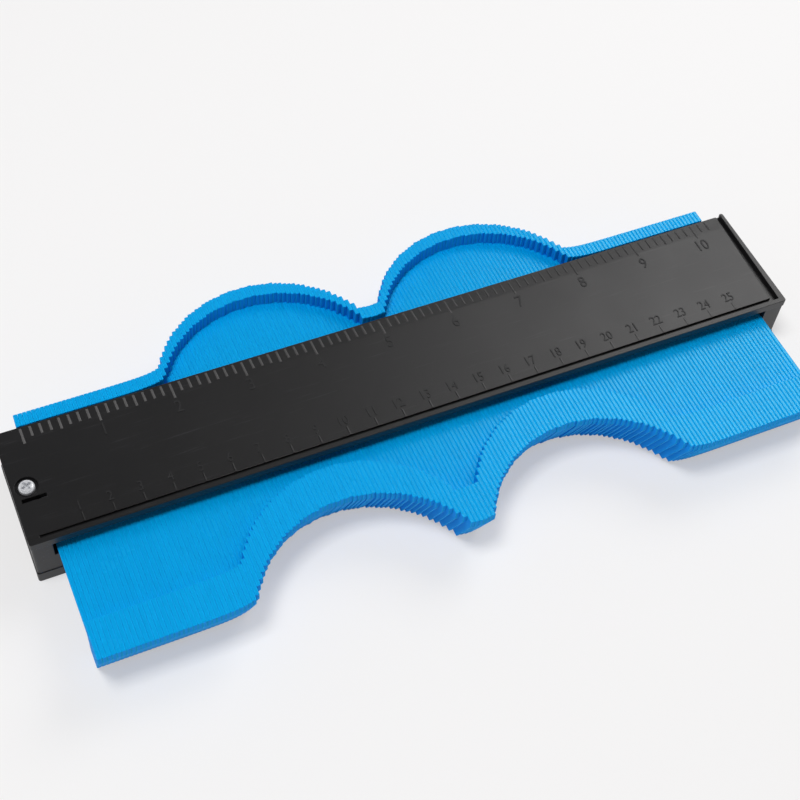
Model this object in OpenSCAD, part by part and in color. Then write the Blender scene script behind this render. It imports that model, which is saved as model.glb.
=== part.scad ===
// Contour gauge: a row of thin sliding pins, held by friction in a flat casing under a ruler cover.
// X runs along the ruler, Y from the front lip to the back ruler edge, Z up from the table.
// The origin is the middle of the casing's underside.

/* [Pins] */
// Number of pin groups in the row
group_count = 44; // [8:1:50]
// Pins that stand side by side in one group
pins_per_group = 4; // [2:1:6]
// Thickness of a pin along the row
pin_thickness = 1.42; // [0.8:0.01:3]
// Free gap between neighbouring pins
pin_gap = 0.065; // [0.05:0.005:0.3]
// Height of the slim web between a pin's raised ends
web_height = 2.8; // [2:0.1:5]
// Rise of both tall ends above the web
end_rise = 5.3; // [4.5:0.1:8]
// Gap between the feet of both tall ends and the table
foot_gap = 1.6; // [0.8:0.1:6]
// Length of the tall pad at the front tip
pad_length = 13.5; // [8:0.1:20]
// Length of the tall rim at the back tip
rim_length = 5.1; // [3.5:0.1:8]
// Height of the upright nose at both tips
nose_height = 3.1; // [1:0.1:5]
// How far the pad's front edge slants back from nose to foot
pad_slant = 7; // [0:0.1:7]
// How far the rim's back edge slants in from nose to foot
rim_slant = 2; // [0:0.1:2.5]

/* [Contour held by the pins] */
// Radius of the two round bars whose outline the pins hold
bar_radius = 40.5; // [20:0.5:60]
// How far the bars have pushed the pins back
push_depth = 24.9; // [5:0.1:30]
// Place of the bars' middle along the row
bar_middle = -2.9; // [-20:0.1:20]
// Gap between casing and back rim on pins that no bar has pushed
rest_gap = 0.6; // [0.4:0.1:4]
// Travel left in front of the lip on the pins that are pushed furthest
spare_travel = 5.1; // [1:0.1:20]
// Uneven settling of the pins that the bars have pushed
settle = 0.25; // [0:0.05:0.4]
// Push on the pins right beside a bar, which friction drags along
drag_push = 1.5; // [0:0.1:3]
// Distance along the row over which that drag fades
drag_reach = 4; // [1:0.5:12]

/* [Casing] */
// Depth of the casing from the front lip to the back ruler edge
casing_depth = 45.2; // [38:0.2:70]
// Length of the casing beyond the row of pins at each end
end_length = 8.15; // [7.5:0.05:14]
// Free space between the left end block and the row of pins
left_gap = 1.15; // [0.1:0.05:1.2]
// Free space between the right end block and the row of pins
right_gap = 0.3; // [0.1:0.05:1.2]
// Radius of the casing's upright corners
corner_radius = 0.8; // [0.5:0.1:2.5]
// Height of the bottom plate
bottom_height = 4.6; // [3.5:0.1:8]
// How far the bottom plate and the cover stand out round the channel
ledge = 0.25; // [0.1:0.05:0.6]
// Height of the pin bed above the bottom plate
bed_height = 8.3; // [6:0.1:14]
// Thickness of the pin bed
bed_thickness = 3; // [2.5:0.1:5]
// Thickness of the channel's long walls
channel_wall = 2.2; // [1.5:0.1:4]
// Number of cross ribs under the pin bed
rib_count = 5; // [1:1:11]
// Thickness of the cross ribs
rib_thickness = 1.6; // [1:0.1:3]
// Running clearance of the pins above and below them
running_clearance = 0.1; // [0.06:0.01:0.3]

/* [Ruler cover] */
// Thickness of the cover plate
cover_thickness = 2.2; // [2:0.1:4]
// Height of the guide rails that hold the pins down
rail_height = 3.7; // [2:0.1:6]
// Thickness of the guide rails
rail_thickness = 2; // [1.2:0.1:4]
// Distance from the lip's face to the front guide rail
rail_setback = 3.4; // [1:0.1:6]
// Width of the front lip
lip_width = 1.8; // [1.2:0.1:5]
// Rise of the lip and the right end wall above the ruler face
lip_rise = 0.8; // [0.3:0.1:2]
// Width of the groove inside the lip
groove_width = 1.5; // [0.5:0.1:2]
// Width of the groove inside the end wall, at the front
wall_groove_front = 2.5; // [0.5:0.1:3]
// Width of that groove at the back
wall_groove_back = 1.2; // [0.5:0.1:3]
// Depth of both grooves
groove_depth = 1; // [0.4:0.1:1.4]
// Plain stretch at the left end before the groove begins
groove_start = 4; // [2:0.1:10]
// Thickness of the right end wall at the front
end_wall_front = 2.2; // [1.2:0.1:5]
// Thickness of the right end wall at the back
end_wall_back = 1.3; // [0.8:0.1:5]
// Width of the sloping ruler edge along the back
bevel_width = 6; // [3:0.1:9]
// Drop of the ruler edge from the ruler face to the back
bevel_drop = 0.4; // [0.2:0.1:1.2]
// Length of the relief slit beside the screw
slit_length = 8; // [4:0.1:12]
// Width of the relief slit
slit_width = 1.5; // [0.6:0.1:2]
// Distance of the relief slit from the casing's left end
slit_inset = 2.2; // [1.5:0.1:5]
// Distance of the relief slit from the casing's middle line
slit_offset = 5.6; // [5.2:0.1:9]

/* [Fasteners] */
// Head diameter of the cover screw
head_diameter = 5.3; // [4:0.1:6.4]
// Head height of the cover screw
head_height = 1.9; // [1.2:0.1:3]
// Length of the cross recess's arms, end to end
cross_length = 3.2; // [2:0.1:3.6]
// Width of the cross recess's arms
cross_width = 0.9; // [0.5:0.1:1.4]
// Shank diameter of the cover screw
shank_diameter = 2.6; // [2:0.1:3]
// Length of the cover screw under its head
shank_length = 10; // [6:0.5:14]
// Diameter of the recess round the screw head
recess_diameter = 7.6; // [6.6:0.1:9]
// Depth of that recess
recess_depth = 1.1; // [0.5:0.1:1.5]
// Distance from the casing's left end to the cover screw
screw_inset = 5; // [4.4:0.1:7]
// Distance of the cover screw in front of the casing's middle line
screw_offset = 0.7; // [0:0.1:3]
// Diameter of the two pegs that locate the cover's right end
peg_diameter = 3; // [2:0.1:4]
// Length of those pegs
peg_length = 6; // [3:0.1:10]
// Distance between the pegs
peg_spacing = 24; // [12:0.5:30]
// Head diameter of the base screws
base_head_diameter = 4.6; // [3.6:0.1:5.6]
// Head height of the base screws
base_head_height = 1.6; // [1:0.1:2.4]
// Shank diameter of the base screws
base_shank_diameter = 2.4; // [1.8:0.1:3]
// Length of the base screws under their heads
base_shank_length = 9; // [6:0.5:12]
// Depth of the base screws' heads below the underside
base_head_sink = 0.4; // [0.2:0.1:1]
// Distance between the base screws across the casing
base_screw_spacing = 32; // [20:0.5:34]
// Clearance round screw shanks, heads and pegs
fit_clearance = 0.05; // [0.02:0.01:0.2]

/* [Friction strips] */
// Width of the two strips that grip the pins
strip_width = 11.8; // [6:0.1:20]
// Thickness of the lower strip, which lies in the pin bed
lower_strip_thickness = 1.5; // [0.8:0.1:2]
// Free height between a strip and the webs of the pins
strip_clearance = 0.05; // [0.02:0.01:0.2]

/* [Hidden] */
$fn = 48;
overcut = 1;
settle_turn = 137.5;
settle_swing = 71;

pin_count = group_count * pins_per_group;
pin_pitch = pin_thickness + pin_gap;
row_length = pin_count * pin_pitch - pin_gap;
casing_length = row_length + 2 * end_length;
channel_left_x = -row_length / 2 - left_gap;
channel_right_x = row_length / 2 + right_gap;
slide_travel = rest_gap + push_depth + spare_travel;
pin_length = pad_length + casing_depth + slide_travel + rim_length;
pin_height = web_height + end_rise;
bar_half_width = sqrt(pow(bar_radius, 2) - pow(bar_radius - push_depth, 2));

bed_z = bottom_height + bed_height;
pin_z = bed_z + running_clearance;
foot_drop = pin_z - foot_gap;
web_top_z = pin_z + web_height;
rail_z = web_top_z + running_clearance;
cover_z = rail_z + rail_height;
face_z = cover_z + cover_thickness;
lip_z = face_z + lip_rise;

front_y = -casing_depth / 2;
back_y = casing_depth / 2;
left_x = -casing_length / 2;
right_x = casing_length / 2;
groove_y = front_y + lip_width;
wall_front_x = right_x - end_wall_front;
wall_back_x = right_x - end_wall_back;
screw_x = left_x + screw_inset;
slit_x = left_x + slit_inset;
block_middle_x = right_x - (end_length - left_gap) / 2;

black = "#262626";
blue = "#0a97de";
zinc = "#c9ccd0";
rubber = "#3a3a3c";

function group_name(group) = str("pin_group_", group < 9 ? "0" : "", group + 1);

// Left face of a pin, counted from the left end of the row
function pin_x(pin) = -row_length / 2 + pin * pin_pitch;

// Push of one round bar at a place along the row: its outline above the line of free pins
function bar_push(x, bar_x) =
    abs(x - bar_x) < bar_radius
        ? push_depth - bar_radius + sqrt(pow(bar_radius, 2) - pow(x - bar_x, 2))
        : 0;

// Push of two bars that lie side by side: the larger of the two, and none where neither reaches
function bars_push(x) =
    max(0, bar_push(x, bar_middle - bar_radius), bar_push(x, bar_middle + bar_radius));

// Drag of one bar on the pins beside it: full at the bar's edge, fading with the distance from it
function bar_drag(x, bar_x) =
    drag_push * exp(-max(0, abs(x - bar_x) - bar_half_width) / drag_reach);

// Push on a pin: that of the bars with a little uneven settling, or their drag where that is larger
function pin_push(pin) =
    let (x = pin_x(pin) + pin_thickness / 2)
    let (drag = bar_drag(x, bar_middle - bar_radius) + bar_drag(x, bar_middle + bar_radius))
    let (push = bars_push(x) + settle * sin(pin * settle_turn) * cos(pin * settle_swing))
    bars_push(x) > 0 ? max(drag, push) : drag;

// Flat outline of a plate with rounded corners
module plate_outline(length, depth) {
    inner_length = length - 2 * corner_radius;
    inner_depth = depth - 2 * corner_radius;
    square([length, inner_depth], center = true);
    square([inner_length, depth], center = true);
    for (x = [-1, 1], y = [-1, 1])
        translate([x * inner_length / 2, y * inner_depth / 2])
            circle(corner_radius);
}

// Upright plate with rounded corners, standing on z = 0
module rounded_plate(length, depth, height) {
    linear_extrude(height) plate_outline(length, depth);
}

// Block given by its lower left front corner and its upper right back corner
module block(low, high) {
    translate(low) cube(high - low);
}

// Places its children where the four base screws stand
module at_base_screws() {
    for (x = [-1, 1], y = [-1, 1])
        translate([x * block_middle_x, y * base_screw_spacing / 2, base_head_sink]) children();
}

// Places its children where the two locating pegs stand
module at_pegs() {
    for (y = [-1, 1])
        translate([block_middle_x, y * peg_spacing / 2, cover_z]) children();
}

// Flat plate that closes the casing underneath, with counterbored holes for its screws
module bottom_plate() {
    color(black)
    difference() {
        rounded_plate(casing_length, casing_depth, bottom_height);
        at_base_screws() {
            translate([0, 0, -base_head_sink - overcut])
                cylinder(d = base_head_diameter + 2 * fit_clearance,
                         h = base_head_sink + base_head_height + overcut);
            cylinder(d = base_shank_diameter + 2 * fit_clearance, h = bottom_height + overcut);
        }
    }
}

// Four small screws that hold the bottom plate to the channel's end blocks
module base_screws() {
    color(zinc)
    at_base_screws() {
        cylinder(d = base_head_diameter, h = base_head_height);
        cylinder(d = base_shank_diameter, h = base_head_height + base_shank_length);
    }
}

// Moulded channel: hollow ribbed bed for the pins between two end blocks
module pin_channel() {
    length = casing_length - 2 * ledge;
    depth = casing_depth - 2 * ledge;
    inner_depth = depth - 2 * channel_wall;
    bay = (channel_right_x - channel_left_x - (rib_count + 2) * rib_thickness) / (rib_count + 1);
    color(black)
    difference() {
        translate([0, 0, bottom_height])
            rounded_plate(length, depth, cover_z - bottom_height);
        block([channel_left_x, -casing_depth, bed_z],
              [channel_right_x, casing_depth, cover_z + overcut]);
        for (i = [0 : rib_count]) {
            bay_x = channel_left_x + rib_thickness + i * (bay + rib_thickness);
            block([bay_x, -inner_depth / 2, bottom_height - overcut],
                  [bay_x + bay, inner_depth / 2, bed_z - bed_thickness]);
        }
        block([channel_left_x, -strip_width / 2 - fit_clearance, bed_z - lower_strip_thickness],
              [channel_right_x, strip_width / 2 + fit_clearance, bed_z + overcut]);
        at_base_screws()
            cylinder(d = base_shank_diameter + 2 * fit_clearance,
                     h = base_head_height + base_shank_length + overcut);
        at_pegs()
            translate([0, 0, -peg_length - overcut])
                cylinder(d = peg_diameter + 2 * fit_clearance, h = peg_length + 2 * overcut);
        translate([screw_x, -screw_offset, face_z - recess_depth - shank_length - overcut])
            cylinder(d = shank_diameter + 2 * fit_clearance, h = shank_length + 2 * overcut);
    }
}

// Rubber strip in the pin bed that the pins slide on
module lower_friction_strip() {
    color(rubber)
    block([-row_length / 2, -strip_width / 2, bed_z - lower_strip_thickness],
          [row_length / 2, strip_width / 2, pin_z - strip_clearance]);
}

// Rubber strip under the cover that presses on the webs of the pins
module upper_friction_strip() {
    color(rubber)
    block([-row_length / 2, -strip_width / 2, web_top_z + strip_clearance],
          [row_length / 2, strip_width / 2, cover_z]);
}

// Inner face of the right end wall, which runs from its front to its back thickness
function wall_inner_x(y) =
    wall_front_x + (wall_back_x - wall_front_x) * (y - front_y) / casing_depth;

// Flat outline of the front lip and of the right end wall, which tapers to the back
module lip_outline() {
    intersection() {
        plate_outline(casing_length, casing_depth);
        polygon([
            [left_x, front_y],
            [right_x, front_y],
            [right_x, back_y],
            [wall_back_x, back_y],
            [wall_inner_x(groove_y), groove_y],
            [left_x, groove_y]
        ]);
    }
}

// Flat outline of the cut for the groove, which reaches half way under the lip and the end wall
module groove_outline() {
    under_lip = groove_y - lip_width / 2;
    under_wall = end_wall_back / 2;
    polygon([
        [left_x + groove_start, under_lip],
        [wall_inner_x(under_lip) + under_wall, under_lip],
        [wall_inner_x(back_y + overcut) + under_wall, back_y + overcut],
        [wall_back_x - wall_groove_back, back_y + overcut],
        [wall_front_x - wall_groove_front, groove_y + groove_width],
        [left_x + groove_start, groove_y + groove_width]
    ]);
}

// Side view of the cut for the sloping ruler edge along the back
module slope_outline() {
    polygon([
        [back_y - bevel_width, face_z],
        [back_y + overcut, face_z - bevel_drop * (bevel_width + overcut) / bevel_width],
        [back_y + overcut, face_z + overcut],
        [back_y - bevel_width, face_z + overcut]
    ]);
}

// Ruler cover: plate with front lip, right end wall, guide rails, pegs, screw recess and relief slit
module ruler_cover() {
    color(black)
    difference() {
        union() {
            difference() {
                translate([0, 0, cover_z])
                    rounded_plate(casing_length, casing_depth, cover_thickness);
                translate([left_x - overcut, 0, 0])
                    rotate([90, 0, 90])
                        linear_extrude(casing_length + 2 * overcut) slope_outline();
                translate([0, 0, face_z - groove_depth])
                    linear_extrude(groove_depth + overcut) groove_outline();
            }
            translate([0, 0, cover_z])
                linear_extrude(lip_z - cover_z) lip_outline();
            for (y = [front_y + rail_setback, back_y - rail_thickness])
                block([-row_length / 2, y, rail_z],
                      [row_length / 2, y + rail_thickness, cover_z + cover_thickness / 2]);
            at_pegs()
                translate([0, 0, -peg_length])
                    cylinder(d = peg_diameter, h = peg_length + cover_thickness / 2);
        }
        translate([screw_x, -screw_offset, 0]) {
            translate([0, 0, face_z - recess_depth]) cylinder(d = recess_diameter, h = lip_z);
            translate([0, 0, cover_z - overcut])
                cylinder(d = shank_diameter + 4 * fit_clearance, h = cover_thickness + 2 * overcut);
        }
        block([slit_x, -slit_offset - slit_width / 2, cover_z - overcut],
              [slit_x + slit_length, -slit_offset + slit_width / 2, lip_z + overcut]);
    }
}

// Screw with a low domed head and a cross recess that holds the cover's left end
module cover_screw() {
    dome = head_height / 2;
    color(zinc)
    translate([screw_x, -screw_offset, face_z - recess_depth])
    difference() {
        union() {
            rotate_extrude()
                polygon([[0, 0], [head_diameter / 2, 0], [head_diameter / 2, dome],
                         [head_diameter / 3, head_height], [0, head_height]]);
            translate([0, 0, -shank_length]) cylinder(d = shank_diameter, h = shank_length + dome);
        }
        for (turn = [0, 90])
            rotate(turn)
                block([-cross_length / 2, -cross_width / 2, dome],
                      [cross_length / 2, cross_width / 2, dome + head_height]);
    }
}

// Side view of a pin with its front tip at y = 0: tall pad with a slanting front, slim web, tall rim
module pin_profile() {
    polygon([
        [0, pin_height - nose_height],
        [pad_slant, -foot_drop],
        [pad_length, -foot_drop],
        [pad_length, 0],
        [pin_length - rim_length, 0],
        [pin_length - rim_length, -foot_drop],
        [pin_length - rim_slant, -foot_drop],
        [pin_length, pin_height - nose_height],
        [pin_length, pin_height],
        [pin_length - rim_length, pin_height],
        [pin_length - rim_length, web_height],
        [pad_length, web_height],
        [pad_length, pin_height],
        [0, pin_height]
    ]);
}

// One group of neighbouring pins, each at the place where the contour has pushed it
module pin_group(group) {
    color(blue)
    for (i = [0 : pins_per_group - 1]) {
        pin = group * pins_per_group + i;
        tip_y = back_y + rest_gap + rim_length - pin_length + pin_push(pin);
        translate([pin_x(pin), tip_y, pin_z])
            rotate([90, 0, 90])
                linear_extrude(pin_thickness) pin_profile();
    }
}

bottom_plate();
base_screws();
pin_channel();
lower_friction_strip();
upper_friction_strip();
ruler_cover();
cover_screw();
for (group = [0 : group_count - 1])
    pin_group(group);
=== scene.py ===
"""Contour gauge: blue sliding pins in a black casing under a ruler cover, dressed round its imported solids."""

from math import cos, pi, radians, sin

import bmesh
import bpy
import numpy as np
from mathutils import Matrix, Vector


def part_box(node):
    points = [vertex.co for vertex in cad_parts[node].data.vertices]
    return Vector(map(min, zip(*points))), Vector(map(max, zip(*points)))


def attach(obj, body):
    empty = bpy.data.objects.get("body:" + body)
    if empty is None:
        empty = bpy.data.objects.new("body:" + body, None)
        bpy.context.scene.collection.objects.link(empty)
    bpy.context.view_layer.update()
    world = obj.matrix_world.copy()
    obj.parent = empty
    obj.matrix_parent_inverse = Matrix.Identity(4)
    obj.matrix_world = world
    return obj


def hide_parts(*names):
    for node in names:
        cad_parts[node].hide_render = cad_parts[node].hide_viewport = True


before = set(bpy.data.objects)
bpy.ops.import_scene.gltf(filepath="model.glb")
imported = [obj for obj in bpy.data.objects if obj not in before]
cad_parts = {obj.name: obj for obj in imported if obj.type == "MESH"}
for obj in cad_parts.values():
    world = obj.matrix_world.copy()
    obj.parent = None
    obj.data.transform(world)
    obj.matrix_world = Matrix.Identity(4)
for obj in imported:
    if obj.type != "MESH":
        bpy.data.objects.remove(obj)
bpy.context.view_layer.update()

# Bottom plate
# A flat moulded plate of black plastic closes the casing underneath.
# It stands a little proud of the channel, so a fine ledge runs round the end blocks.

MM = 0.001
PLATE_EDGE = 0.25 * MM
MERGE_REACH, FLAT_BEND, SHARP_BEND = 0.002 * MM, radians(0.5), radians(30)
SHORT_RISE, LONG_CREASE = 1.5 * MM, 20 * MM


def add_node(tree, kind, settings, sockets):
    """Adds one shader node: settings are its own properties, sockets its values or the links that feed it."""
    made = tree.nodes.new(kind)
    for name, value in settings.items():
        setattr(made, name, value)
    for name, value in sockets.items():
        if isinstance(value, bpy.types.NodeSocket):
            tree.links.new(value, made.inputs[name])
        else:
            made.inputs[name].default_value = value
    return made


def new_group(name, inputs, outputs):
    """Starts a shader node group with named sockets and returns its tree, its input node and its output node."""
    tree = bpy.data.node_groups.new(name, "ShaderNodeTree")
    for label, kind in inputs:
        tree.interface.new_socket(name=label, in_out="INPUT", socket_type=kind)
    for label in outputs:
        tree.interface.new_socket(name=label, in_out="OUTPUT", socket_type="NodeSocketFloat")
    return tree, tree.nodes.new("NodeGroupInput"), tree.nodes.new("NodeGroupOutput")


# Moulded grain: fine noise for the spark-eroded skin, and wide soft clouds for uneven gloss
grain_group, taken, given = new_group(
    "moulded_grain",
    [("Vector", "NodeSocketVector"), ("Grain", "NodeSocketFloat"), ("Cloud", "NodeSocketFloat")],
    ["Height", "Clouds"],
)
skin = add_node(grain_group, "ShaderNodeTexNoise", {}, {
    "Vector": taken.outputs["Vector"], "Scale": taken.outputs["Grain"], "Detail": 3.0, "Roughness": 0.6})
clouds = add_node(grain_group, "ShaderNodeTexNoise", {}, {
    "Vector": taken.outputs["Vector"], "Scale": taken.outputs["Cloud"], "Detail": 4.0, "Roughness": 0.55})
grain_group.links.new(skin.outputs["Fac"], given.inputs["Height"])
grain_group.links.new(clouds.outputs["Fac"], given.inputs["Clouds"])

# Sliding scuffs: noise stretched along one direction, cut off so that only its highest lines stay
scuff_group, taken, given = new_group(
    "sliding_scuffs",
    [("Vector", "NodeSocketVector"), ("Stretch", "NodeSocketVector"), ("From", "NodeSocketFloat")],
    ["Mask"],
)
stretched = add_node(scuff_group, "ShaderNodeVectorMath", {"operation": "MULTIPLY"}, {
    0: taken.outputs["Vector"], 1: taken.outputs["Stretch"]})
lines = add_node(scuff_group, "ShaderNodeTexNoise", {}, {
    "Vector": stretched.outputs["Vector"], "Scale": 1.0, "Detail": 5.0, "Roughness": 0.65})
cut = add_node(scuff_group, "ShaderNodeMapRange", {}, {
    "Value": lines.outputs["Fac"], "From Min": taken.outputs["From"], "From Max": 0.8})
scuff_group.links.new(cut.outputs["Result"], given.inputs["Mask"])


def new_material(name):
    """Starts a material and returns it, its tree, its Principled shader and its Object coordinates."""
    made = bpy.data.materials.new(name)
    made.use_nodes = True
    tree = made.node_tree
    place = tree.nodes.new("ShaderNodeTexCoord").outputs["Object"]
    return made, tree, tree.nodes["Principled BSDF"], place


def use_group(tree, group, sockets):
    """Places a shader node group in a material with its own values."""
    return add_node(tree, "ShaderNodeGroup", {"node_tree": group}, sockets)


def mix_colours(tree, share, first, second):
    """Mixes two colours by a share from 0 to 1 and returns the mixed colour's socket."""
    return add_node(tree, "ShaderNodeMix", {"data_type": "RGBA"}, {0: share, 6: first, 7: second}).outputs[2]


def map_value(tree, value, low, high):
    """Carries a value that runs from 0 to 1 into the range from low to high."""
    ranged = add_node(tree, "ShaderNodeMapRange", {}, {"Value": value, "To Min": low, "To Max": high})
    return ranged.outputs["Result"]


def add_bump(tree, shader, height, strength, depth):
    """Raises the surface by a height map, depth in metres, on the shader's normal."""
    bump = add_node(tree, "ShaderNodeBump", {}, {"Height": height, "Strength": strength, "Distance": depth})
    tree.links.new(bump.outputs["Normal"], shader.inputs["Normal"])


def black_plastic(name, dark, paler, gloss_low, gloss_high, stretch):
    """Black moulded plastic: fine grain, cloudy gloss, and pale scuffs along the stretch that is smallest."""
    made, tree, shader, place = new_material(name)
    grain = use_group(tree, grain_group, {"Vector": place, "Grain": 2600.0, "Cloud": 38.0})
    scuffs = use_group(tree, scuff_group, {"Vector": place, "Stretch": stretch, "From": 0.6})
    tone = mix_colours(tree, scuffs.outputs["Mask"], (*dark, 1), (*paler, 1))
    tree.links.new(tone, shader.inputs["Base Color"])
    rough = map_value(tree, grain.outputs["Clouds"], low=gloss_low, high=gloss_high)
    tree.links.new(rough, shader.inputs["Roughness"])
    add_bump(tree, shader, grain.outputs["Height"], strength=0.25, depth=0.06 * MM)
    return made


def put_in_scene(name, mesh, material, body):
    """Makes a piece of a mesh that is already in place, gives it its material and lets it ride on a body."""
    piece = bpy.data.objects.new(name, mesh)
    bpy.context.scene.collection.objects.link(piece)
    mesh.materials.clear()
    mesh.materials.append(material)
    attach(piece, body)
    return piece


def rounded_copy(node, name, material, edge):
    """A CAD node's own form with moulded edges: its loose triangles are merged, flat neighbours become one face,
    and each outer edge with a sharp bend is rounded by a Bevel, but for the short upright ones. Inner corners
    and long flat creases stay crisp."""
    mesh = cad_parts[node].data.copy()
    if "custom_normal" in mesh.attributes:
        mesh.attributes.remove(mesh.attributes["custom_normal"])
    form = bmesh.new()
    form.from_mesh(mesh)
    bmesh.ops.remove_doubles(form, verts=form.verts, dist=MERGE_REACH)
    bmesh.ops.dissolve_limit(form, angle_limit=FLAT_BEND, verts=form.verts, edges=form.edges)
    weight = form.edges.layers.float.new("bevel_weight_edge")
    for side in form.edges:
        sharp = side.calc_face_angle() > SHARP_BEND
        rise = abs(side.verts[0].co.z - side.verts[1].co.z)
        short_upright = 0.5 * side.calc_length() < rise < SHORT_RISE
        rounded = sharp and side.is_convex and not short_upright
        side[weight] = float(rounded)
        side.smooth = rounded or (not sharp and side.calc_length() < LONG_CREASE)
    form.to_mesh(mesh)
    form.free()
    mesh.polygons.foreach_set("use_smooth", np.ones(len(mesh.polygons), bool))
    piece = put_in_scene(name, mesh, material, "casing")
    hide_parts(node)
    rounding = piece.modifiers.new("moulded_edges", "BEVEL")
    rounding.width = edge
    rounding.segments = 2
    rounding.limit_method = "WEIGHT"
    rounding.use_clamp_overlap = False
    rounding.loop_slide = False
    rounding.harden_normals = True
    return piece


casing_black = black_plastic(
    "casing_black", dark=(0.0125, 0.0122, 0.0135), paler=(0.05, 0.05, 0.053), gloss_low=0.36, gloss_high=0.52,
    stretch=(700.0, 60.0, 700.0))
rounded_copy("bottom_plate", "bottom_plate_moulding", casing_black, PLATE_EDGE)

# Base screws
# Four small zinc-plated cross-head screws hold the bottom plate to the end blocks from below.
# Their heads lie in counterbores, and their threads cut into the channel's plastic.

# Shares of a head's radius and height, and of a shank's radius and length, that every screw here has
PAN_FLAT, PAN_RIM = 0.5, 0.42
ARM_HALF_WIDTH, ARM_FLANK, ARM_REACH, ARM_END, RECESS_DEPTH = 0.16, 0.05, 0.66, 0.2, 0.75
NECK, THREAD_CORE, THREAD_RISE, TIP, TIP_LENGTH = 0.86, 0.78, 0.21, 0.35, 0.2
STATIONS_PER_TURN, SMOOTH_BEND = 4, 35


def grid_faces(rows, columns, first=0):
    """Quads of a grid of rows by columns points, closed round the columns, as an array of point numbers."""
    row, column = np.meshgrid(np.arange(rows - 1), np.arange(columns), indexing="ij")
    onward = (column + 1) % columns
    here, above = row * columns, (row + 1) * columns
    corners = [here + column, here + onward, above + onward, above + column]
    return first + np.stack(corners, axis=-1).reshape(-1, 4)


def screw_surface(head_radius, head_height, shank_radius, shank_length, pitch, turns=64):
    """Points and faces of a pan-head screw with a cross recess, standing on z = 0 with its shank below.
    The head is a height over the polar grid (radius, angle): a flat pan with an elliptic edge, less a cross
    whose depth falls off from the middle lines of its two arms. The shank is a radius over the grid (height,
    angle): a core and a thread, a triangle wave in the turns of height and angle, that fades out at the tip."""
    angle = np.linspace(0, 2 * pi, turns, endpoint=False)
    share = np.concatenate([np.linspace(0.03, 0.69, 20), [0.76, 0.84, 0.91, 0.96, 0.99, 1.0]])
    share, around = np.meshgrid(share, angle, indexing="ij")
    x, y = share * head_radius * np.cos(around), share * head_radius * np.sin(around)
    rim = np.clip((share - PAN_FLAT) / (1 - PAN_FLAT), 0, 1)
    crown = head_height * (PAN_RIM + (1 - PAN_RIM) * np.sqrt(1 - rim**2))
    off_arm = np.minimum(np.abs(x), np.abs(y)) / head_radius
    along_arm = np.maximum(np.abs(x), np.abs(y)) / head_radius
    slot = np.clip((ARM_HALF_WIDTH - off_arm) / ARM_FLANK, 0, 1)
    slot *= np.clip((ARM_REACH - along_arm) / ARM_END, 0, 1)
    top = np.stack([x, y, crown - RECESS_DEPTH * head_height * slot], axis=-1)
    flank_angle = angle[None, :] + np.zeros((2, 1))
    flank_radius = np.array([[head_radius], [shank_radius * NECK]])
    flank = np.stack([flank_radius * np.cos(flank_angle), flank_radius * np.sin(flank_angle),
                      np.zeros_like(flank_angle)], axis=-1)
    stations = np.linspace(0.02, 1, int(shank_length / pitch * STATIONS_PER_TURN))
    depth, around = np.meshgrid(stations, angle, indexing="ij")
    wave = np.abs(((depth * shank_length / pitch + around / (2 * pi)) % 1) * 2 - 1)
    fade = np.clip((1 - depth) / TIP_LENGTH, 0, 1)
    radius = shank_radius * (THREAD_CORE + THREAD_RISE * wave) * (TIP + (1 - TIP) * fade)
    shank = np.stack([radius * np.cos(around), radius * np.sin(around), -depth * shank_length], axis=-1)
    points = np.concatenate([top.reshape(-1, 3), flank.reshape(-1, 3), shank.reshape(-1, 3)])
    rows = len(points) // turns
    faces = grid_faces(rows, turns)[:, ::-1].tolist()
    faces.append(np.arange(turns).tolist())
    faces.append((np.arange(turns) + (rows - 1) * turns)[::-1].tolist())
    return points, faces


def mesh_of(name, points, faces, smooth_angle=None):
    """A mesh of points and faces, flat or smooth across edges that are blunter than an angle."""
    mesh = bpy.data.meshes.new(name)
    mesh.from_pydata(points.tolist(), [], faces)
    if smooth_angle is not None:
        mesh.polygons.foreach_set("use_smooth", np.ones(len(mesh.polygons), bool))
        mesh.set_sharp_from_angle(angle=radians(smooth_angle))
    mesh.update()
    return mesh


def plated_metal(name, bright, dull):
    """Zinc-plated steel: a pale, partly metallic plating with cloudy gloss and fine turning marks."""
    made, tree, shader, place = new_material(name)
    grain = use_group(tree, grain_group, {"Vector": place, "Grain": 5200.0, "Cloud": 900.0})
    tone = mix_colours(tree, grain.outputs["Clouds"], (*bright, 1), (*dull, 1))
    tree.links.new(tone, shader.inputs["Base Color"])
    rough = map_value(tree, grain.outputs["Clouds"], low=0.2, high=0.42)
    tree.links.new(rough, shader.inputs["Roughness"])
    shader.inputs["Metallic"].default_value = 0.4
    add_bump(tree, shader, grain.outputs["Height"], strength=0.2, depth=0.02 * MM)
    return made


zinc_plate = plated_metal("zinc_plate", bright=(0.82, 0.83, 0.85), dull=(0.6, 0.61, 0.64))
base_low, base_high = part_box("base_screws")
BASE_HEAD_RADIUS, BASE_HEAD_HEIGHT = 2.3 * MM, 1.6 * MM
BASE_SHANK_RADIUS, BASE_THREAD_PITCH = 1.2 * MM, 0.9 * MM
base_shank_length = base_high.z - base_low.z - BASE_HEAD_HEIGHT
points, faces = screw_surface(
    BASE_HEAD_RADIUS, BASE_HEAD_HEIGHT, BASE_SHANK_RADIUS, base_shank_length, BASE_THREAD_PITCH)
points = points * [1, -1, -1] + [0, 0, base_low.z + BASE_HEAD_HEIGHT]
screw_places = np.array([
    [x, y, 0]
    for x in (base_low.x + BASE_HEAD_RADIUS, base_high.x - BASE_HEAD_RADIUS)
    for y in (base_low.y + BASE_HEAD_RADIUS, base_high.y - BASE_HEAD_RADIUS)
])
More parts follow.
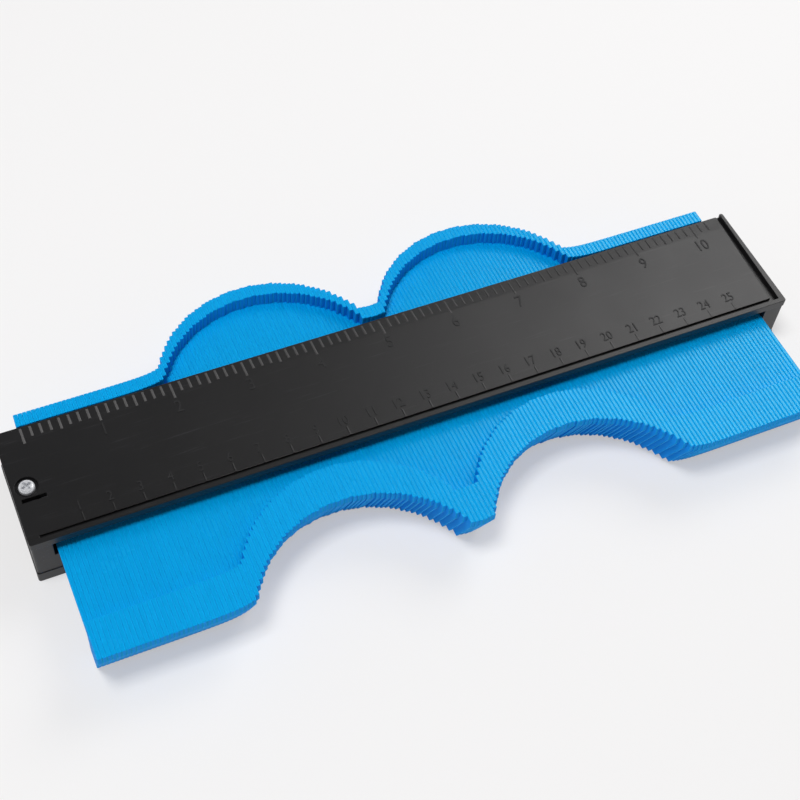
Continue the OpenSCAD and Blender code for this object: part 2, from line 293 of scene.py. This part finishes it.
all_points = (screw_places[:, None, :] + points[None, :, :]).reshape(-1, 3)
all_faces = [[number + k * len(points) for number in face] for k in range(len(screw_places)) for face in faces]
base_screw_mesh = mesh_of("base_screw_set", all_points, all_faces, SMOOTH_BEND)
base_screws = put_in_scene("base_screw_set", base_screw_mesh, zinc_plate, "casing")
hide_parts("base_screws")

# Pin channel
# The black moulded body of the casing: two end blocks and between them the sill that the pins slide on.
# It is hollow and ribbed underneath, where the bottom plate closes it.

CHANNEL_EDGE = 0.2 * MM
rounded_copy("pin_channel", "pin_channel_moulding", casing_black, CHANNEL_EDGE)

# Friction strips
# Two soft black strips, one let into the sill and one under the cover, press on the pins and hold them.
# They are cut from sheet rubber, dull and faintly speckled.

strip_rubber, tree, shader, place = new_material("strip_rubber")
grain = use_group(tree, grain_group, {"Vector": place, "Grain": 1500.0, "Cloud": 120.0})
tone = mix_colours(tree, grain.outputs["Clouds"], (0.03, 0.03, 0.031, 1), (0.055, 0.055, 0.057, 1))
tree.links.new(tone, shader.inputs["Base Color"])
rough = map_value(tree, grain.outputs["Height"], low=0.75, high=0.95)
tree.links.new(rough, shader.inputs["Roughness"])
add_bump(tree, shader, grain.outputs["Height"], strength=0.6, depth=0.1 * MM)
for strip in ("lower_friction_strip", "upper_friction_strip"):
    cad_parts[strip].data.materials.clear()
    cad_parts[strip].data.materials.append(strip_rubber)

# Pins
# 176 thin pins of blue plastic stand side by side, each with a tall pad at the front tip, a slim web that
# runs through the casing and a tall rim at the back tip. Two round bars have pushed their outline into them.
# Their sides and tips are coloured a deeper, bluer blue as painted shade and painted bounce light, and their eased
# edges a paler blue as painted light.

PIN_THICKNESS, PIN_PITCH, PINS_PER_GROUP, GROUPS = 1.42, 1.485, 4, 44
WEB_HEIGHT, PIN_HEIGHT, PAD_LENGTH, RIM_LENGTH = 2.8, 8.1, 13.5, 5.1
FOOT_DROP, NOSE_HEIGHT, PAD_SLANT, RIM_SLANT = 11.4, 3.1, 7.0, 2.0
TOP_CHAMFER, EDGE_WIDTH, EDGE_DROP = 0.15, 0.34, 0.1
PIN_LENGTH, PIN_Z, FREE_TIP_Y = 94.4, 13.0, -66.1
BAR_RADIUS, PUSH_DEPTH, BAR_MIDDLE = 40.5, 24.9, -2.9
SETTLE, SETTLE_TURN, SETTLE_SWING = 0.25, 137.5, 71
DRAG_PUSH, DRAG_REACH = 1.5, 4.0
TOP_RUN, SHADE_SEED = 1, 400
PIN_DEEP, PIN_PALE = (0.0, 0.297, 0.66, 1), (0.0, 0.312, 0.68, 1)
# The rubbed blue is wear. The eased-edge blue is painted light, paler to even out the shade on the eased edges. The
# side blue is painted shade, deeper and bluer for the shaded sides and tips.
PIN_RUBBED, PIN_EDGE_PAINTED_LIGHT, PIN_SIDE_PAINTED_SHADE = (0.015, 0.42, 0.86, 1), (0.0, 0.41, 0.9, 1), (0.0, 0.268, 0.78, 1)
RUBBED_SHARE, EDGE_LIGHT_SHARE, SIDE_ROUGHNESS = 0.15, 0.2, 0.9


def pin_push(pin):
    """How far each pin is pushed back: the higher of two circles side by side above the line of free pins,
    settled unevenly by the product of a sine and a cosine of the pin's number. Beside the circles friction drags
    the pins along, most at the circle's edge and less with an exponential of the distance from it."""
    x = (pin + 0.5) * PIN_PITCH - (PINS_PER_GROUP * GROUPS * PIN_PITCH) / 2
    from_bars = np.abs(x - BAR_MIDDLE + np.array([[BAR_RADIUS], [-BAR_RADIUS]]))
    circle = np.sqrt(np.clip(BAR_RADIUS**2 - from_bars.min(0) ** 2, 0, None))
    bars = PUSH_DEPTH - BAR_RADIUS + circle
    settled = bars + SETTLE * np.sin(np.radians(pin * SETTLE_TURN)) * np.cos(np.radians(pin * SETTLE_SWING))
    half_width = np.sqrt(BAR_RADIUS**2 - (BAR_RADIUS - PUSH_DEPTH) ** 2)
    drag = DRAG_PUSH * np.exp(-np.clip(from_bars - half_width, 0, None) / DRAG_REACH).sum(0)
    return np.where(bars > 0, np.maximum(drag, settled), drag)


def inset_outline(outline, margin):
    """A closed outline moved inwards by a margin: each corner goes along the sum of its two edges' inward
    normals, divided by one plus the cosine of the angle between them."""
    ahead = np.roll(outline, -1, axis=0) - outline
    ahead /= np.linalg.norm(ahead, axis=1, keepdims=True)
    inward = np.stack([-ahead[:, 1], ahead[:, 0]], axis=1)
    before = np.roll(inward, 1, axis=0)
    return outline + margin * (inward + before) / (1 + np.sum(inward * before, axis=1, keepdims=True))


pin_outline = np.array([
    [0, PIN_HEIGHT - NOSE_HEIGHT],
    [PAD_SLANT, -FOOT_DROP],
    [PAD_LENGTH, -FOOT_DROP],
    [PAD_LENGTH, 0],
    [PIN_LENGTH - RIM_LENGTH, 0],
    [PIN_LENGTH - RIM_LENGTH, -FOOT_DROP],
    [PIN_LENGTH - RIM_SLANT, -FOOT_DROP],
    [PIN_LENGTH, PIN_HEIGHT - NOSE_HEIGHT],
    [PIN_LENGTH, PIN_HEIGHT - TOP_CHAMFER],
    [PIN_LENGTH - TOP_CHAMFER, PIN_HEIGHT],
    [PIN_LENGTH - RIM_LENGTH + TOP_CHAMFER, PIN_HEIGHT],
    [PIN_LENGTH - RIM_LENGTH, PIN_HEIGHT - TOP_CHAMFER],
    [PIN_LENGTH - RIM_LENGTH, WEB_HEIGHT],
    [PAD_LENGTH, WEB_HEIGHT],
    [PAD_LENGTH, PIN_HEIGHT - TOP_CHAMFER],
    [PAD_LENGTH - TOP_CHAMFER, PIN_HEIGHT],
    [TOP_CHAMFER, PIN_HEIGHT],
    [0, PIN_HEIGHT - TOP_CHAMFER],
], float)


def pin_group_mesh(name, first_pin):
    """Four pins: the side outline carried along the row through four rings, inset a little at the first and the
    last, so that each pin's long edges are eased. Each pin is set back by its own push, and has a shade of its
    own. Faces on eased edges, and on flat tops where the outline runs to the front, are marked for the material."""
    corners = len(pin_outline)
    inner = inset_outline(pin_outline, EDGE_DROP)
    rings = np.stack([inner, pin_outline, pin_outline, inner])
    pin_points = len(rings) * corners
    across = np.array([0, EDGE_WIDTH, PIN_THICKNESS - EDGE_WIDTH, PIN_THICKNESS])
    pins = first_pin + np.arange(PINS_PER_GROUP)
    row_start = -(PINS_PER_GROUP * GROUPS * PIN_PITCH - (PIN_PITCH - PIN_THICKNESS)) / 2
    grid = np.zeros((PINS_PER_GROUP, len(rings), corners, 3))
    grid[..., 0] = row_start + pins[:, None, None] * PIN_PITCH + across[None, :, None]
    grid[..., 1] = rings[None, :, :, 0] + FREE_TIP_Y + pin_push(pins)[:, None, None]
    grid[..., 2] = rings[None, :, :, 1] + PIN_Z
    starts = np.arange(PINS_PER_GROUP) * pin_points
    sides = np.concatenate([grid_faces(len(rings), corners, start) for start in starts]).tolist()
    caps = [list(range(start, start + corners))[::-1] for start in starts]
    caps += [list(range(start + pin_points - corners, start + pin_points)) for start in starts]
    mesh = mesh_of(name, grid.reshape(-1, 3) * MM, sides + caps)
    luck = np.random.default_rng(SHADE_SEED + first_pin).random(PINS_PER_GROUP)
    shade = mesh.attributes.new("pin_shade", "FLOAT", "POINT")
    shade.data.foreach_set("value", np.repeat(luck, pin_points).astype(np.float32))
    eased = np.tile(np.repeat([1, 0, 1], corners), PINS_PER_GROUP)
    runs_forward = (np.roll(pin_outline, -1, axis=0) - pin_outline)[:, 0] < -TOP_RUN
    flat_top = np.tile(runs_forward, (len(rings) - 1) * PINS_PER_GROUP) * (1 - eased)
    for label, values in (("pin_edge", eased), ("pin_top", flat_top)):
        marks = mesh.attributes.new(label, "FLOAT", "FACE")
        marks.data.foreach_set("value", np.concatenate([values, np.zeros(len(caps))]).astype(np.float32))
    return mesh


pin_blue, tree, shader, place = new_material("pin_blue")
grain = use_group(tree, grain_group, {"Vector": place, "Grain": 1800.0, "Cloud": 55.0})
scuffs = use_group(tree, scuff_group, {"Vector": place, "Stretch": (1500.0, 110.0, 500.0), "From": 0.52})
shade, edge, top = (
    add_node(tree, "ShaderNodeAttribute", {"attribute_name": label}, {}).outputs["Fac"]
    for label in ("pin_shade", "pin_edge", "pin_top"))
deep_to_pale = mix_colours(tree, shade, PIN_DEEP, PIN_PALE)
rubbed_share = add_node(tree, "ShaderNodeMath", {"operation": "MULTIPLY"}, {
    0: scuffs.outputs["Mask"], 1: RUBBED_SHARE})
rubbed = mix_colours(tree, rubbed_share.outputs[0], deep_to_pale, PIN_RUBBED)
# Painted light: the eased edges are coloured a paler blue, to even out the shade they fall in
edge_light_share = add_node(tree, "ShaderNodeMath", {"operation": "MULTIPLY"}, {0: edge, 1: EDGE_LIGHT_SHARE})
edge_lightened = mix_colours(tree, edge_light_share.outputs[0], rubbed, PIN_EDGE_PAINTED_LIGHT)
# Painted shade: every face that is neither a flat top nor an eased edge gets the deeper, bluer side blue, for the
# shade and blue bounce light on the pins' sides and tips
upper = add_node(tree, "ShaderNodeMath", {"operation": "MAXIMUM"}, {0: top, 1: edge})
side_shaded = mix_colours(tree, upper.outputs[0], PIN_SIDE_PAINTED_SHADE, edge_lightened)
tree.links.new(side_shaded, shader.inputs["Base Color"])
polish = map_value(tree, grain.outputs["Clouds"], low=0.2, high=0.32)
rough = add_node(tree, "ShaderNodeMix", {"data_type": "FLOAT"}, {0: top, 2: SIDE_ROUGHNESS, 3: polish})
tree.links.new(rough.outputs[0], shader.inputs["Roughness"])
shader.inputs["Specular IOR Level"].default_value = 0.58
shader.inputs["Specular Tint"].default_value = (0.4, 1.0, 0.8, 1)
add_bump(tree, shader, scuffs.outputs["Mask"], strength=0.06, depth=0.04 * MM)
for group in range(GROUPS):
    node = f"pin_group_{group + 1:02d}"
    mesh = pin_group_mesh(f"{node}_pins", group * PINS_PER_GROUP)
    pins = put_in_scene(f"{node}_pins", mesh, pin_blue, node)
    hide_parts(node)

# Ruler cover
# A moulded plate of black plastic over the pins, with a thin front lip, a right end wall and a groove inside
# them. Its face is satin and scuffed a little along its length. Pegs and one screw hold it.

COVER_EDGE = 0.17 * MM
ruler_black = black_plastic(
    "ruler_black", dark=(0.0085, 0.0083, 0.0087), paler=(0.028, 0.028, 0.03), gloss_low=0.34, gloss_high=0.46,
    stretch=(45.0, 900.0, 900.0))
rounded_copy("ruler_cover", "ruler_cover_moulding", ruler_black, COVER_EDGE)

# Scale ticks
# Fine ribs moulded on the cover: a centimetre scale inside the front groove, and an inch scale in eighths
# on the sloping back edge. The centimetre ticks are the cover's own black. The inch ticks are near black, painted
# paler grey towards their left end as a painted highlight for the sheen their flanks catch there.

cover_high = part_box("ruler_cover")[1]
LIP_RISE, BEVEL_WIDTH, BEVEL_DROP = 0.8 * MM, 6.0 * MM, 0.4 * MM
FACE_Z = cover_high.z - LIP_RISE
CM_ZERO_X, CM_STEP, CM_COUNT = -130.39 * MM, 10 * MM, 25
CM_NEAR, CM_FAR, CM_WIDTH, CM_RISE = -19.3 * MM, -15.9 * MM, 0.9 * MM, 0.05 * MM
INCH_ZERO_X, INCH_STEP, EIGHTH_COUNT = -129.94 * MM, 25.4 * MM, 83
INCH_NEAR, HALF_NEAR, EIGHTH_NEAR, INCH_FAR = 15.4 * MM, 16.9 * MM, 17.6 * MM, 21.9 * MM
INCH_WIDTH, INCH_RISE = 1.0 * MM, 0.07 * MM
TICK_FOOT, TICK_RIDGE = -0.015 * MM, 0.04
# Where the painted highlight on the inch ticks is full, and how far along the scale it fades out
HIGHLIGHT_MIDDLE, HIGHLIGHT_REACH = 0.35, 200 * MM


def face_height(y):
    """Height of the cover's face: level, then falling evenly along the sloping ruler edge at the back."""
    return FACE_Z - BEVEL_DROP * np.clip((y - cover_high.y + BEVEL_WIDTH) / BEVEL_WIDTH, 0, 1)


def tick_ribs(x, near, far, width, rise):
    """Ribs side by side: a low roof carried from y near to y far through three stations, the middle one at the
    crease of the sloping edge where a rib crosses it. Its foot is sunk a little into the face."""
    crease = cover_high.y - BEVEL_WIDTH
    middle = np.where((near < crease) & (far > crease), crease, (near + far) / 2)
    y = np.stack([near, middle, far], axis=1)[:, :, None]
    inset = np.array([1, 0, -1])[None, :, None] * np.array([0, 0.5, 0.5, 0])[None, None, :] * width * 0.5
    sideways = np.array([0.5, TICK_RIDGE, -TICK_RIDGE, -0.5]) * width
    lift = np.array([TICK_FOOT, rise, rise, TICK_FOOT])
    stations, corners = y.shape[1], len(lift)
    grid = np.zeros((len(x), stations, corners, 3))
    grid[..., 0] = x[:, None, None] + sideways
    grid[..., 1] = y + inset
    grid[..., 2] = face_height(y) + lift
    starts = np.arange(len(x)) * stations * corners
    sides = np.concatenate([grid_faces(stations, corners, start) for start in starts])[:, ::-1]
    near_caps = starts[:, None] + np.arange(corners)
    far_caps = (near_caps + (stations - 1) * corners)[:, ::-1]
    return grid.reshape(-1, 3), np.concatenate([sides, near_caps, far_caps]).tolist()


eighths = np.arange(EIGHTH_COUNT)
near = np.where(eighths % 8 == 0, INCH_NEAR, np.where(eighths % 8 == 4, HALF_NEAR, EIGHTH_NEAR))
points, faces = tick_ribs(
    INCH_ZERO_X + eighths * INCH_STEP / 8, near, np.full(EIGHTH_COUNT, INCH_FAR), INCH_WIDTH, INCH_RISE)
inch_mesh = mesh_of("inch_ticks", points, faces)
# Share of painted highlight on each inch tick: full at the left end, fading to none towards the right
highlight_amount = inch_mesh.attributes.new("tick_highlight", "FLOAT", "POINT")
highlight_amount.data.foreach_set("value", np.clip(HIGHLIGHT_MIDDLE - points[:, 0] / HIGHLIGHT_REACH, 0, 1).astype(np.float32))
# The inch ticks' material: near black, painted pale grey by that share as a painted highlight
painted_highlight_black, tree, shader, place = new_material("painted_highlight_black")
grain = use_group(tree, grain_group, {"Vector": place, "Grain": 2600.0, "Cloud": 300.0})
paler = add_node(tree, "ShaderNodeAttribute", {"attribute_name": "tick_highlight"}, {}).outputs["Fac"]
tone = mix_colours(tree, paler, (0.01, 0.0098, 0.0102, 1), (0.085, 0.083, 0.083, 1))
tree.links.new(tone, shader.inputs["Base Color"])
rough = map_value(tree, grain.outputs["Clouds"], low=0.4, high=0.55)
tree.links.new(rough, shader.inputs["Roughness"])
put_in_scene("inch_ticks", inch_mesh, painted_highlight_black, "casing")
points, faces = tick_ribs(
    CM_ZERO_X + np.arange(1, CM_COUNT + 1) * CM_STEP, np.full(CM_COUNT, CM_NEAR), np.full(CM_COUNT, CM_FAR),
    CM_WIDTH, CM_RISE)
centimetre_mesh = mesh_of("centimetre_ticks", points, faces)
put_in_scene("centimetre_ticks", centimetre_mesh, ruler_black, "casing")

# Scale numbers
# Plain raised figures beside the ticks, 1 to 25 for the centimetres and 1 to 10 for the inches.
# They are moulded with the cover, and read upright from the front.


def figure_mesh(word):
    """Points and faces of one number as a flat raised form, its middle at the origin and its height one."""
    letters = bpy.data.curves.new("figure", "FONT")
    letters.body = word
    letters.align_x = "CENTER"
    letters.resolution_u = 3
    letters.extrude = 0.5
    holder = bpy.data.objects.new("figure", letters)
    bpy.context.scene.collection.objects.link(holder)
    bpy.context.view_layer.update()
    mesh = bpy.data.meshes.new_from_object(holder.evaluated_get(bpy.context.evaluated_depsgraph_get()))
    points = np.zeros(len(mesh.vertices) * 3)
    mesh.vertices.foreach_get("co", points)
    points = points.reshape(-1, 3)
    faces = [list(face.vertices) for face in mesh.polygons]
    low, high = points[:, :2].min(0), points[:, :2].max(0)
    points[:, :2] = (points[:, :2] - (low + high) / 2) / (high[1] - low[1])
    bpy.data.objects.remove(holder)
    bpy.data.curves.remove(letters)
    bpy.data.meshes.remove(mesh)
    return points, faces


FIGURE_RISE, FIGURE_FOOT, FIGURE_WIDTH, FIGURE_MERGE = 0.14 * MM, -0.05 * MM, 0.82, 0.0005 * MM
CM_FIGURE_Y, CM_FIGURE_HEIGHT = -13.2 * MM, 3.7 * MM
INCH_FIGURE_Y, INCH_FIGURE_HEIGHT, INCH_COUNT = 11.9 * MM, 4.8 * MM, 10
labels = [
    (str(k), CM_ZERO_X + k * CM_STEP, CM_FIGURE_Y, CM_FIGURE_HEIGHT) for k in range(1, CM_COUNT + 1)]
labels += [
    (str(k), INCH_ZERO_X + k * INCH_STEP, INCH_FIGURE_Y, INCH_FIGURE_HEIGHT) for k in range(1, INCH_COUNT + 1)]
number_points, number_faces = [], []
count = 0
for word, x, y, height in labels:
    points, faces = figure_mesh(word)
    lift = np.where(points[:, 2] > 0, FIGURE_RISE, FIGURE_FOOT)
    placed = np.column_stack([
        x + points[:, 0] * height * FIGURE_WIDTH, y + points[:, 1] * height, FACE_Z + lift])
    number_points.append(placed)
    number_faces += [[number + count for number in face] for face in faces]
    count += len(placed)
numbers = mesh_of("scale_numbers", np.concatenate(number_points), number_faces)
form = bmesh.new()
form.from_mesh(numbers)
bmesh.ops.remove_doubles(form, verts=form.verts, dist=FIGURE_MERGE)
form.to_mesh(numbers)
form.free()
figure_black = black_plastic(
    "figure_black", dark=(0.015, 0.015, 0.0155), paler=(0.035, 0.035, 0.036), gloss_low=0.55, gloss_high=0.7,
    stretch=(300.0, 300.0, 300.0))
put_in_scene("scale_numbers", numbers, figure_black, "casing")

# Cover screw
# One bright zinc-plated pan-head screw with a cross recess holds the cover's left end.
# It sits in a round recess, and its thread cuts into the end block.

screw_low, screw_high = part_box("cover_screw")
SCREW_HEAD_HEIGHT, SCREW_SHANK_RADIUS, SCREW_THREAD_PITCH = 1.9 * MM, 1.3 * MM, 1.1 * MM
SCREW_TURN = radians(25)
screw_middle = (screw_low + screw_high) / 2
points, faces = screw_surface(
    (screw_high.x - screw_low.x) / 2, SCREW_HEAD_HEIGHT, SCREW_SHANK_RADIUS,
    screw_high.z - screw_low.z - SCREW_HEAD_HEIGHT, SCREW_THREAD_PITCH)
points = points @ np.array([
    [cos(SCREW_TURN), sin(SCREW_TURN), 0], [-sin(SCREW_TURN), cos(SCREW_TURN), 0], [0, 0, 1]])
points += [screw_middle.x, screw_middle.y, screw_high.z - SCREW_HEAD_HEIGHT]
cover_screw_mesh = mesh_of("cover_screw_cross_head", points, faces, SMOOTH_BEND)
cover_screw = put_in_scene("cover_screw_cross_head", cover_screw_mesh, zinc_plate, "casing")
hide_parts("cover_screw")

# Floor
# A plain pale table top that the gauge lies on, reaching to the horizon.
# It glows a little, and more so far from the gauge, so that it stays pale in every view and keeps the shadows.

FLOOR_REACH, FLOOR_DROP = 40.0, 0.05 * MM
NEAR_GLOW, FAR_GLOW, GLOW_FROM, GLOW_TO = 0.45, 0.7, 0.5, 1.7
floor_mesh = mesh_of(
    "floor",
    np.array([[-1, -1, 0], [1, -1, 0], [1, 1, 0], [-1, 1, 0]]) * FLOOR_REACH - [0, 0, FLOOR_DROP],
    [[0, 1, 2, 3]])
floor = bpy.data.objects.new("floor", floor_mesh)
bpy.context.scene.collection.objects.link(floor)
pale_table, tree, shader, place = new_material("pale_table")
shader.inputs["Roughness"].default_value = 0.7
rays = tree.nodes.new("ShaderNodeLightPath").outputs
seen = add_node(tree, "ShaderNodeMath", {"operation": "ADD"}, {
    0: rays["Is Camera Ray"], 1: rays["Is Glossy Ray"]})
seen = add_node(tree, "ShaderNodeMath", {"operation": "ADD", "use_clamp": True}, {
    0: seen.outputs[0], 1: rays["Is Transmission Ray"]}).outputs[0]
tone = mix_colours(tree, seen, (0.85, 0.85, 0.86, 1), (0.42, 0.42, 0.415, 1))
tree.links.new(tone, shader.inputs["Base Color"])
shader.inputs["Emission Color"].default_value = (1.0, 0.985, 0.99, 1)
away = add_node(tree, "ShaderNodeVectorMath", {"operation": "LENGTH"}, {0: place}).outputs["Value"]
glow = add_node(tree, "ShaderNodeMapRange", {}, {
    "Value": away, "From Min": GLOW_FROM, "From Max": GLOW_TO, "To Min": NEAR_GLOW, "To Max": FAR_GLOW})
seen_glow = add_node(tree, "ShaderNodeMath", {"operation": "MULTIPLY"}, {0: seen, 1: glow.outputs["Result"]})
tree.links.new(seen_glow.outputs[0], shader.inputs["Emission Strength"])
floor_mesh.materials.append(pale_table)

# Lights
# A pale softbox stands behind on the right, whose sheen lies on the right part of the cover and the pins.
# A smaller one high up on the left casts the soft shadows and leaves no sheen.
# A plain surround that is pale at the horizon lights the rest.


def softbox(name, azimuth, elevation, distance, size, watts, colour):
    """A square area light on a sphere round the gauge, turned to its middle."""
    lamp = bpy.data.lights.new(name, "AREA")
    lamp.size = size
    lamp.energy = watts
    lamp.color = colour
    holder = bpy.data.objects.new(name, lamp)
    turn, rise = radians(azimuth), radians(elevation)
    out = Vector((cos(turn) * cos(rise), sin(turn) * cos(rise), sin(rise)))
    holder.location = out * distance
    holder.rotation_euler = out.to_track_quat("Z", "Y").to_euler()
    bpy.context.scene.collection.objects.link(holder)
    return holder


softbox(
    "sheen_softbox", azimuth=29.5, elevation=46, distance=1.1, size=0.6, watts=4.3, colour=(1.0, 0.99, 0.985))
high_softbox = softbox(
    "high_softbox", azimuth=192, elevation=74, distance=1.5, size=0.45, watts=15.8, colour=(0.995, 0.995, 1.0))
high_softbox.visible_glossy = False
surround = bpy.data.worlds.new("surround")
bpy.context.scene.world = surround
surround.use_nodes = True
tree = surround.node_tree
tree.nodes.clear()
outward = tree.nodes.new("ShaderNodeTexCoord").outputs["Generated"]
upward = add_node(tree, "ShaderNodeSeparateXYZ", {}, {"Vector": outward}).outputs["Z"]
strength = add_node(tree, "ShaderNodeMapRange", {}, {
    "Value": upward, "From Min": 0.12, "From Max": 0.6, "To Min": 0.9, "To Max": 0.12}).outputs["Result"]
sky = add_node(tree, "ShaderNodeBackground", {}, {"Color": (0.98, 0.985, 1.0, 1), "Strength": strength})
world_out = tree.nodes.new("ShaderNodeOutputWorld")
tree.links.new(sky.outputs["Background"], world_out.inputs["Surface"])

# Camera
# It stands where the photograph was taken, with no shift and no depth of field.
# Its place and lens were fitted to the ruler's marks and the casing's edges.

lens = bpy.data.cameras.new("camera")
lens.lens = 65.2065
lens.sensor_width = 36
lens.clip_start = 0.01
camera = bpy.data.objects.new("camera", lens)
camera.location = (-0.146902, -0.262226, 0.417504)
camera.rotation_euler = (radians(35.60955), radians(-3.66426), radians(-23.70481))
bpy.context.scene.collection.objects.link(camera)
bpy.context.scene.camera = camera
bpy.context.scene.view_settings.view_transform = "Standard"
